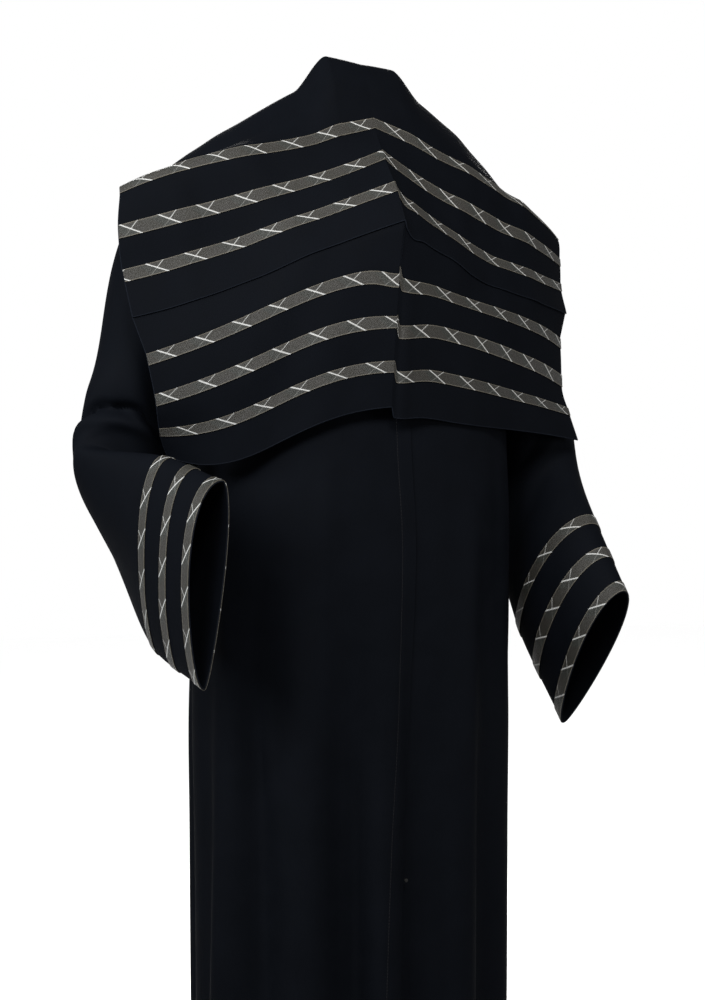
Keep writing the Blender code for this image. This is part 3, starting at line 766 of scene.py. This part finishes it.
def sleeve_ring(row, axis, side):
    """Points round a sleeve from its underarm seam over the arm and back."""
    top = np.array(row.top, float)
    low = np.array(row.low, float)
    across = unit(np.cross(top - low, axis))
    count = 2 * ARMHOLE_STEPS + 1
    turn = 2 * np.pi * np.arange(count) / (count - 1)
    rise = -np.cos(turn)[:, None]
    first, second = (row.fore, row.aft) if side == LEFT else (row.aft, row.fore)
    width = np.where(turn < np.pi, first, second)[:, None]
    points = (top + low) / 2 + (top - low) / 2 * rise
    points = points - across * np.sin(turn)[:, None] * width * (1 + SLEEVE_TOP_HEAVY * rise)
    points[0] -= across * GAP / 2
    points[-1] += across * GAP / 2
    return points


def pucker_heights(puckers, along, shares):
    total = np.zeros((len(along), len(shares)))
    for row in puckers:
        away = shares[None, :] - row.share
        line = along[:, None] - row.along - row.slant * away
        total += row.height * bell(line / row.reach) * bell(away / row.spread)
    return total


def sleeve(side, table, puckers, front, back):
    """A function that gives a sleeve's points and normals at distances from the cuff."""
    middles = [(np.array(row.top, float) + np.array(row.low, float)) / 2 for row in table]
    axes = np.gradient(np.array(middles), axis=0)
    rings = [sleeve_ring(row, -axis, side) for row, axis in zip(table, axes)]
    front_half = armhole_ring(side, *front, edge_column=-1 if side == LEFT else 0)
    back_half = armhole_ring(side, *back, edge_column=0 if side == LEFT else -1)
    first, second = (front_half, back_half) if side == LEFT else (back_half, front_half)
    rings.append(np.vstack([first[:-1], second[::-1]]))
    at = column(table, "along") + [SLEEVE_LENGTH[side]]
    shares = np.linspace(0.0, 1.0, 2 * ARMHOLE_STEPS + 1)

    def strip(along):
        along = np.asarray(along, float)
        grid = curve_through(at, np.array(rings), along)
        normals = grid_normals(grid)
        seam = unit(normals[:, 0] + normals[:, -1])
        normals[:, 0] = seam
        normals[:, -1] = seam
        grid = grid + normals * pucker_heights(puckers, along, shares)[:, :, None]
        return grid, normals

    return strip


# Shoulder scarf

def one_fold(row, distance, along=0.0):
    """The height of one small fold at distances from the crease."""
    return row.height * bell((distance - row.at - row.slant * along) / row.width)


def ripple(along, distance, side, upper):
    """Small folds of the scarf, as a height over the surface."""
    table = UPPER_RIPPLES if upper else LOWER_RIPPLES
    fade_end, fade_length = UPPER_RIPPLE_FADE if upper else LOWER_RIPPLE_FADE
    total = sum(one_fold(row, distance, along) for row in table[side])
    return total * smooth((fade_end - along) / fade_length)


def sag(along, distance, side, upper):
    """How far the cloth hangs lower beside the crease."""
    off_crease = smooth(distance / PLEAT_STEP)
    if upper and side == LEFT:
        low = one_fold(UPPER_PLEAT, distance) * off_crease - one_fold(UPPER_LIFT, distance)
        return low * smooth((UPPER_PLEAT_END - along) / UPPER_PLEAT_END)
    if upper:
        return np.zeros_like(distance)
    if side == LEFT:
        return one_fold(LOWER_LEFT_SAG, distance) * off_crease
    return one_fold(LOWER_RIGHT_SAG, distance) * smooth((along - LOWER_SAG_START) / LOWER_SAG_EASE)


def half_run(spine, half, along, shares, side):
    """Points along one half of a row, worked out by walking from the crease."""
    run, back, fall = (curve_through(column(half, "along"), column(half, name), along)
                       for name in ("run", "back", "fall"))
    steps = np.linspace(0.0, 1.0, WALK_STEPS + 1)
    middle = (steps[1:] + steps[:-1]) / 2
    back = np.radians(curve_through((0.0, 0.5, 1.0), back, middle))
    fall = np.radians(curve_through((0.0, 0.5, 1.0), fall, middle))
    move = np.stack([side * np.cos(back) * np.cos(fall), np.sin(back) * np.cos(fall), -np.sin(fall)], 1)
    path = np.vstack([np.zeros(3), np.cumsum(move, axis=0) * run / len(middle)])
    at = curve_through(column(spine, "along"), [(row.x, row.y, row.z) for row in spine], along)
    points = at + np.stack([np.interp(shares, steps, path[:, k]) for k in range(3)], 1)
    distance = shares * run
    cap = float(curve_through(column(spine, "along"), column(spine, "cap"), along))
    lean = 1.0 if side == RIGHT else LEFT_CAP_SHARE
    inner = np.minimum(distance / CAP_HALF_WIDTH, 1.0)
    points[:, 2] += cap * lean * inner * (1 - smooth((distance - CAP_HALF_WIDTH) / CAP_EDGE))
    points[:, 2] -= sag(along, distance, side, upper=spine is UPPER_SPINE)
    return points, distance


def drape(rows, spine, right_half, left_half):
    """Points and normals of a stretch of the scarf, with its small folds."""
    shares = np.linspace(0.0, 1.0, DRAPE_COLUMNS) ** CREASE_CROWDING
    upper = spine is UPPER_SPINE
    grid, heights = [], []
    for along in rows:
        right, right_at = half_run(spine, right_half, along, shares, RIGHT)
        left, left_at = half_run(spine, left_half, along, shares, LEFT)
        grid.append(np.vstack([right[:0:-1], left]))
        right_ripple = ripple(along, right_at, RIGHT, upper)
        left_ripple = ripple(along, left_at, LEFT, upper)
        heights.append(np.concatenate([right_ripple[:0:-1], left_ripple]))
    grid = np.array(grid)
    normals = grid_normals(grid)
    return grid + normals * np.array(heights)[:, :, None], normals


def upper_strip(rows):
    return drape(rows, UPPER_SPINE, UPPER_RIGHT_HALF, UPPER_LEFT_HALF)


def lower_strip(rows):
    return drape(rows, LOWER_SPINE, LOWER_RIGHT_HALF, LOWER_LEFT_HALF)


# Materials

class Shader:
    """A Principled material and short calls that add its nodes."""

    def __init__(self, name):
        self.material = bpy.data.materials.new(name)
        self.material.use_nodes = True
        self.tree = self.material.node_tree
        self.main = self.tree.nodes["Principled BSDF"]

    def set(self, **values):
        for name, value in values.items():
            self.main.inputs[name.replace("_", " ")].default_value = value

    def link(self, source, target):
        self.tree.links.new(source, target)

    def node(self, kind, **settings):
        made = self.tree.nodes.new(kind)
        for name, value in settings.items():
            setattr(made, name, value)
        return made

    def feed(self, socket, value):
        if isinstance(value, (int, float, tuple)):
            socket.default_value = value
        else:
            self.link(value, socket)

    def maths(self, operation, *values, clamp=False):
        made = self.node("ShaderNodeMath", operation=operation, use_clamp=clamp)
        for socket, value in zip(made.inputs, values):
            self.feed(socket, value)
        return made.outputs[0]

    def flat_place(self, scale):
        """Cloth coordinates, scaled from metres."""
        place = self.node("ShaderNodeUVMap", uv_map="cloth").outputs[0]
        made = self.node("ShaderNodeVectorMath", operation="SCALE")
        self.link(place, made.inputs[0])
        made.inputs["Scale"].default_value = scale
        return made.outputs[0]

    def axes(self, vector):
        made = self.node("ShaderNodeSeparateXYZ")
        self.link(vector, made.inputs[0])
        return made.outputs[0], made.outputs[1]

    def noise(self, place, scale, detail=2.0, roughness=0.5):
        made = self.node("ShaderNodeTexNoise")
        self.link(place, made.inputs["Vector"])
        made.inputs["Scale"].default_value = scale
        made.inputs["Detail"].default_value = detail
        made.inputs["Roughness"].default_value = roughness
        return made.outputs[0]

    def mix(self, share, first, second):
        made = self.node("ShaderNodeMix", data_type="RGBA")
        self.feed(made.inputs[0], share)
        self.feed(made.inputs[6], first)
        self.feed(made.inputs[7], second)
        return made.outputs[2]

    def remap(self, value, low, high, to_low=0.0, to_high=1.0):
        made = self.node("ShaderNodeMapRange")
        self.link(value, made.inputs[0])
        for socket, number in zip(list(made.inputs)[1:5], (low, high, to_low, to_high)):
            socket.default_value = number
        return made.outputs[0]

    def bump(self, height, distance, strength=1.0):
        made = self.node("ShaderNodeBump")
        self.link(height, made.inputs["Height"])
        made.inputs["Distance"].default_value = distance
        made.inputs["Strength"].default_value = strength
        self.link(made.outputs[0], self.main.inputs["Normal"])


def crepe(name, lighter=1.0):
    """Black crepe: a pebbled grain, a little uneven, with almost no shine."""
    made = Shader(name)
    place = made.flat_place(1.0)
    grain = made.noise(place, 900.0, detail=3.0, roughness=0.6)
    cloudy = made.noise(place, 22.0, detail=2.0)
    pebbles = made.remap(grain, *NOISE_RANGE, -0.35, 0.35)
    tone = made.maths("ADD", pebbles, made.remap(cloudy, *NOISE_RANGE, 0.35, 0.65), clamp=True)
    # lighter above 1 paints a highlight into the crepe's colour, as on the hem cords
    dark = tuple(v * lighter for v in CREPE_DARK) + (1.0,)
    light = tuple(v * lighter for v in CREPE_LIGHT) + (1.0,)
    made.link(made.mix(tone, dark, light), made.main.inputs["Base Color"])
    made.link(made.remap(cloudy, *NOISE_RANGE, 0.62, 0.74), made.main.inputs["Roughness"])
    made.set(Specular_IOR_Level=0.003, Sheen_Weight=0.0002, Sheen_Roughness=0.5)
    made.main.inputs["Sheen Tint"].default_value = CREPE_SHEEN
    made.bump(grain, 0.0003, 0.6)
    return made.material


def woven_trim(name):
    """Bronze-grey ribbon: fine weave, light edge threads, and a silvery crossing every PITCH."""
    made = Shader(name)
    along, across = made.axes(made.flat_place(1000.0))
    spot = made.maths("WRAP", along, PITCH / 2, -PITCH / 2)
    level = made.maths("SUBTRACT", across, TRIM_WIDTH / 2)

    def thread(normal_along, normal_across, half):
        """1 on a straight thread through the crossing, 0 off it."""
        away = made.maths("ADD", made.maths("MULTIPLY", spot, normal_along),
                          made.maths("MULTIPLY", level, normal_across))
        return made.remap(made.maths("ABSOLUTE", away), half + THREAD_BLUR, half - THREAD_BLUR)

    upper = made.maths("GREATER_THAN", level, 0.0)
    lower = made.maths("SUBTRACT", 1.0, upper)
    bold = thread(*BOLD_THREAD)
    second = made.maths("MULTIPLY", thread(*SECOND_THREAD), upper)
    dots = made.remap(made.maths("SINE", made.maths("MULTIPLY", spot, DOT_PACE)), -0.2, 0.5)
    faint = made.maths("MULTIPLY", made.maths("MULTIPLY", thread(*FAINT_THREAD), lower), dots)
    edge = made.remap(made.maths("ABSOLUTE", level), *(TRIM_WIDTH / 2 - inset for inset in EDGE_BAND))

    weft = made.maths("SINE", made.maths("MULTIPLY", along, 2 * math.pi / WEFT_PITCH))
    warp = made.maths("SINE", made.maths("MULTIPLY", across, 2 * math.pi / WARP_PITCH))
    weave = made.maths("MULTIPLY", weft, warp)
    slow = made.noise(made.flat_place(1.0), 60.0, detail=2.0)
    slant = made.maths("ADD", spot, made.maths("MULTIPLY", level, LOZENGE_SLANT))
    lozenge = made.maths("MULTIPLY", made.remap(slant, *LOZENGE_START), made.remap(slant, *LOZENGE_END))
    ground = made.mix(made.remap(slow, 0.35, 0.65), GROUND_WARM, GROUND_DEEP)
    fine = made.mix(made.remap(weave, -0.6, 0.6), FINE_DARK, FINE_LIGHT)
    ground = made.mix(made.remap(weave, -0.8, 0.8, 0.0, 0.28), ground, GROUND_HIGH)
    colour = made.mix(lozenge, ground, fine)
    colour = made.mix(made.maths("MULTIPLY", edge, 0.75), colour, EDGE_BRONZE)
    colour = made.mix(made.maths("MULTIPLY", faint, 0.8), colour, SILVER_FAINT)
    colour = made.mix(second, colour, SILVER_SECOND)
    colour = made.mix(bold, colour, SILVER_BOLD)
    made.link(colour, made.main.inputs["Base Color"])
    raised = made.maths("MAXIMUM", made.maths("MAXIMUM", bold, second), made.maths("MULTIPLY", edge, 0.5))
    made.bump(made.maths("ADD", raised, made.maths("MULTIPLY", weave, 0.22)), 0.0004, 0.8)
    made.set(Roughness=0.48, Specular_IOR_Level=0.05, Sheen_Weight=0.001, Sheen_Roughness=0.4)
    return made.material


def plain(name, colour, roughness, metallic=0.0, specular=0.5):
    """An even finish with a slight grain."""
    made = Shader(name)
    place = made.node("ShaderNodeTexCoord").outputs["Object"]
    grain = made.noise(place, 1800.0, detail=2.0)
    low = tuple(v * 0.85 for v in colour) + (1.0,)
    high = tuple(min(1.0, v * 1.15) for v in colour) + (1.0,)
    made.link(made.mix(grain, low, high), made.main.inputs["Base Color"])
    made.set(Roughness=roughness, Metallic=metallic, Specular_IOR_Level=specular)
    return made.material


# Pieces

def trimmed_rows(starts, low, high, pace):
    """Evenly spaced rows between low and high that include every ribbon's edges."""
    edges = [start + extra for start in starts for extra in (0.0, TRIM_WIDTH)]
    marks = sorted({low, high, *edges})
    rows = [low]
    for a, b in zip(marks, marks[1:]):
        count = max(1, round((b - a) / pace))
        rows += list(np.linspace(a, b, count + 1)[1:])
    return np.array(rows)


def add_ribbons(prefix, strip, starts, phases, middle, finish):
    made = []
    for number, (start, phase) in enumerate(zip(starts, phases), start=1):
        grid, normals = strip(np.linspace(start, start + TRIM_WIDTH, TRIM_ACROSS))
        piece = ribbon(f"{prefix}_{number}_woven", grid, normals, finish, middle, phase)
        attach(piece, "root")
        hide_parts(f"{prefix}_{number}")
        made.append(piece)
    return made


def add_cord(name, path, radius, finish):
    piece = tube(name, path, radius, finish)
    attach(piece, "root")
    return piece


def mid_wall(grid, normals, thickness=SHEET):
    """The middle of a sheet's wall."""
    return grid - normals * (SKIN + thickness / 2)


def dress(piece, node):
    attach(piece, "root")
    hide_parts(node)


def make_body(black, hem_highlight_crepe, thread):
    back = back_panel()
    right = right_front_panel()
    left = left_front_panel()
    panels = {"back": back, "front_right": right, "front_left": left}
    pieces = {}
    for name, grids in panels.items():
        pieces[name] = cloth(f"{name}_panel", *grids, black)
        dress(pieces[name], name)
    line = right[0][:, -1 - EDGE_COLUMNS]
    out = right[1][:, -1 - EDGE_COLUMNS]
    sewn = stitches("placket_stitching", line + out * STITCH_LIFT, out, thread)
    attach(sewn, "root")
    for name, (grid, normals) in panels.items():
        add_cord(f"{name}_hem", mid_wall(grid, normals)[0], HEM_RADIUS, hem_highlight_crepe)
    overlap = add_cord("overlap_edge", mid_wall(*right)[:, -1], HEM_RADIUS, black)
    return right, left, back


def make_sleeve(side, table, puckers, front, back, black, hem_highlight_crepe, woven):
    name = "right" if side == RIGHT else "left"
    strip = sleeve(side, table, puckers, front, back)
    rows = trimmed_rows(CUFF_TRIM_STARTS, 0.0, SLEEVE_LENGTH[side], SLEEVE_LENGTH[side] / SLEEVE_ROWS)
    grid, normals = strip(rows)
    piece = cloth(f"sleeve_{name}_cloth", grid, normals, black)
    dress(piece, f"sleeve_{name}")
    phases = CUFF_PHASES[side]
    ribbons = add_ribbons(f"cuff_trim_{name}", strip, CUFF_TRIM_STARTS, phases, ARMHOLE_STEPS, woven)
    rim = add_cord(f"cuff_{name}_rim", mid_wall(grid, normals)[0], HEM_RADIUS, hem_highlight_crepe)


def edge_cords(prefix, grid, normals, sides, finish, thickness=SHEET):
    """Cords along the named edges of a stretch of the scarf: rolled hems, selvedges or its fold."""
    inside = mid_wall(grid, normals, thickness)
    lines = {"end": inside[0], "right": inside[:, 0], "left": inside[:, -1], "fold": inside[-1]}
    return [add_cord(f"{prefix}_{side}_hem", lines[side], HEM_RADIUS, finish) for side in sides]


def make_upper_scarf(black, hem_highlight_crepe, woven):
    """The upper front end and the fold behind, one surface that is parted at the neck's ridge."""
    front_rows = trimmed_rows(UPPER_TRIM_STARTS, 0.0, RIDGE_ALONG, ROW_PACE)
    behind_rows = np.linspace(RIDGE_ALONG, BACK_END_ALONG, BACK_ROWS)[1:]
    grid, normals = upper_strip(np.concatenate([front_rows, behind_rows]))
    split = len(front_rows)
    front = cloth("scarf_upper_end", grid[:split], normals[:split], black, middle=MIDDLE_COLUMN)
    dress(front, "drape_upper_front")
    behind_grid, behind_normals = grid[split - 1:].copy(), normals[split - 1:]
    behind_grid[0] += unit(grid[split] - grid[split - 1]) * GAP
    behind = cloth("scarf_back_fold", behind_grid, behind_normals, black, TWO_LAYERS, MIDDLE_COLUMN)
    dress(behind, "drape_back_fall")
    trims = add_ribbons("drape_trim_upper", upper_strip, UPPER_TRIM_STARTS, UPPER_PHASES, MIDDLE_COLUMN,
                        woven)
    hems = edge_cords("scarf_upper", grid[:split], normals[:split], OPEN_EDGES, hem_highlight_crepe)
    behind_hems = edge_cords("scarf_back", behind_grid, behind_normals, ("right", "left", "fold"), hem_highlight_crepe,
                             TWO_LAYERS)


def make_lower_scarf(black, hem_highlight_crepe, woven):
    """The lower front end, whose top runs on behind the upper one."""
    rows = trimmed_rows(LOWER_TRIM_STARTS, 0.0, LOWER_TRIM_STARTS[-1] + TRIM_WIDTH, ROW_PACE)
    grid, _ = lower_strip(rows)
    tuck_grid, tuck_normals = upper_strip(np.linspace(*TUCK_ROWS))
    tucked = tuck_grid - tuck_normals * (TUCK_DEPTH + GAP)
    bridge = np.linspace(grid[-1], tucked[0], BRIDGE_ROWS)[1:-1]
    grid = np.concatenate([grid, bridge, tucked])
    normals = grid_normals(grid)
    lower = cloth("scarf_lower_end", grid, normals, black, middle=MIDDLE_COLUMN)
    dress(lower, "drape_lower_front")
    trims = add_ribbons("drape_trim_lower", lower_strip, LOWER_TRIM_STARTS, LOWER_PHASES, MIDDLE_COLUMN,
                        woven)
    hems = edge_cords("scarf_lower", grid, normals, OPEN_EDGES, hem_highlight_crepe)


# Studio

def make_camera():
    right = np.array([math.cos(VIEW_TURN), -math.sin(VIEW_TURN), 0.0])
    ahead = np.array([math.sin(VIEW_TURN), math.cos(VIEW_TURN), 0.0])
    data = bpy.data.cameras.new("camera")
    data.sensor_fit = "VERTICAL"
    data.sensor_height = SENSOR
    data.lens = LENS
    camera = placed("camera", data)
    camera.location = right * CAMERA_ASIDE - ahead * CAMERA_DISTANCE + np.array([0.0, 0.0, CAMERA_HEIGHT])
    camera.rotation_euler = (math.pi / 2, 0.0, -VIEW_TURN)
    bpy.context.scene.camera = camera


def make_floor():
    half = FLOOR_REACH
    corners = [(x * half, y * half, FLOOR_Z) for x, y in ((-1, -1), (1, -1), (1, 1), (-1, 1))]
    mesh = bpy.data.meshes.new("floor")
    mesh.from_pydata(corners, [], [(0, 1, 2, 3)])
    shader = Shader("pale_floor")
    shader.set(Roughness=0.9, Specular_IOR_Level=0.1)
    shader.main.inputs["Base Color"].default_value = FLOOR_WHITE
    mesh.materials.append(shader.material)
    floor = placed("floor", mesh)


def area_light(lamp):
    """A lamp with a square face, turned toward its target."""
    data = bpy.data.lights.new(lamp.name, "AREA")
    data.shape = "SQUARE"
    data.size = lamp.size
    data.energy = lamp.power
    data.spread = BEAM
    data.color = lamp.colour
    light = placed(lamp.name, data)
    light.location = lamp.place
    toward = np.array(lamp.target) - np.array(lamp.place)
    heading = math.atan2(toward[0], -toward[1])
    tilt = math.atan2(math.hypot(toward[0], toward[1]), -toward[2])
    light.rotation_euler = (tilt, 0.0, heading + math.pi)


def make_lights():
    world = bpy.data.worlds.new("studio")
    world.use_nodes = True
    world.node_tree.nodes["Background"].inputs[0].default_value = (1.0, 1.0, 1.0, 1.0)
    world.node_tree.nodes["Background"].inputs[1].default_value = 1.0
    bpy.context.scene.world = world
    bpy.context.scene.view_settings.view_transform = "Standard"
    for lamp in LAMPS:
        area_light(lamp)


def main():
    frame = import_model()
    black = crepe("black_crepe")
    # Crepe for the hem and edge cords, painted lighter as a painted highlight along the rolled edges
    hem_highlight_crepe = crepe("crepe_painted_hem_highlight", lighter=HEM_HIGHLIGHT_LIGHTER)
    woven = woven_trim("bronze_ribbon")
    thread = plain("grey_thread", THREAD_GREY, 0.6, specular=0.01)
    right, left, back = make_body(black, hem_highlight_crepe, thread)
    make_sleeve(RIGHT, RIGHT_SLEEVE, RIGHT_PUCKERS, right, back, black, hem_highlight_crepe, woven)
    make_sleeve(LEFT, LEFT_SLEEVE, LEFT_PUCKERS, left, back, black, hem_highlight_crepe, woven)
    make_upper_scarf(black, hem_highlight_crepe, woven)
    make_lower_scarf(black, hem_highlight_crepe, woven)
    stud = frame["nodes"]["press_stud"]
    stud.material_slots[0].material = plain("stud_metal", STUD_GREY, 0.45, metallic=1.0)
    make_camera()
    make_floor()
    make_lights()


main()
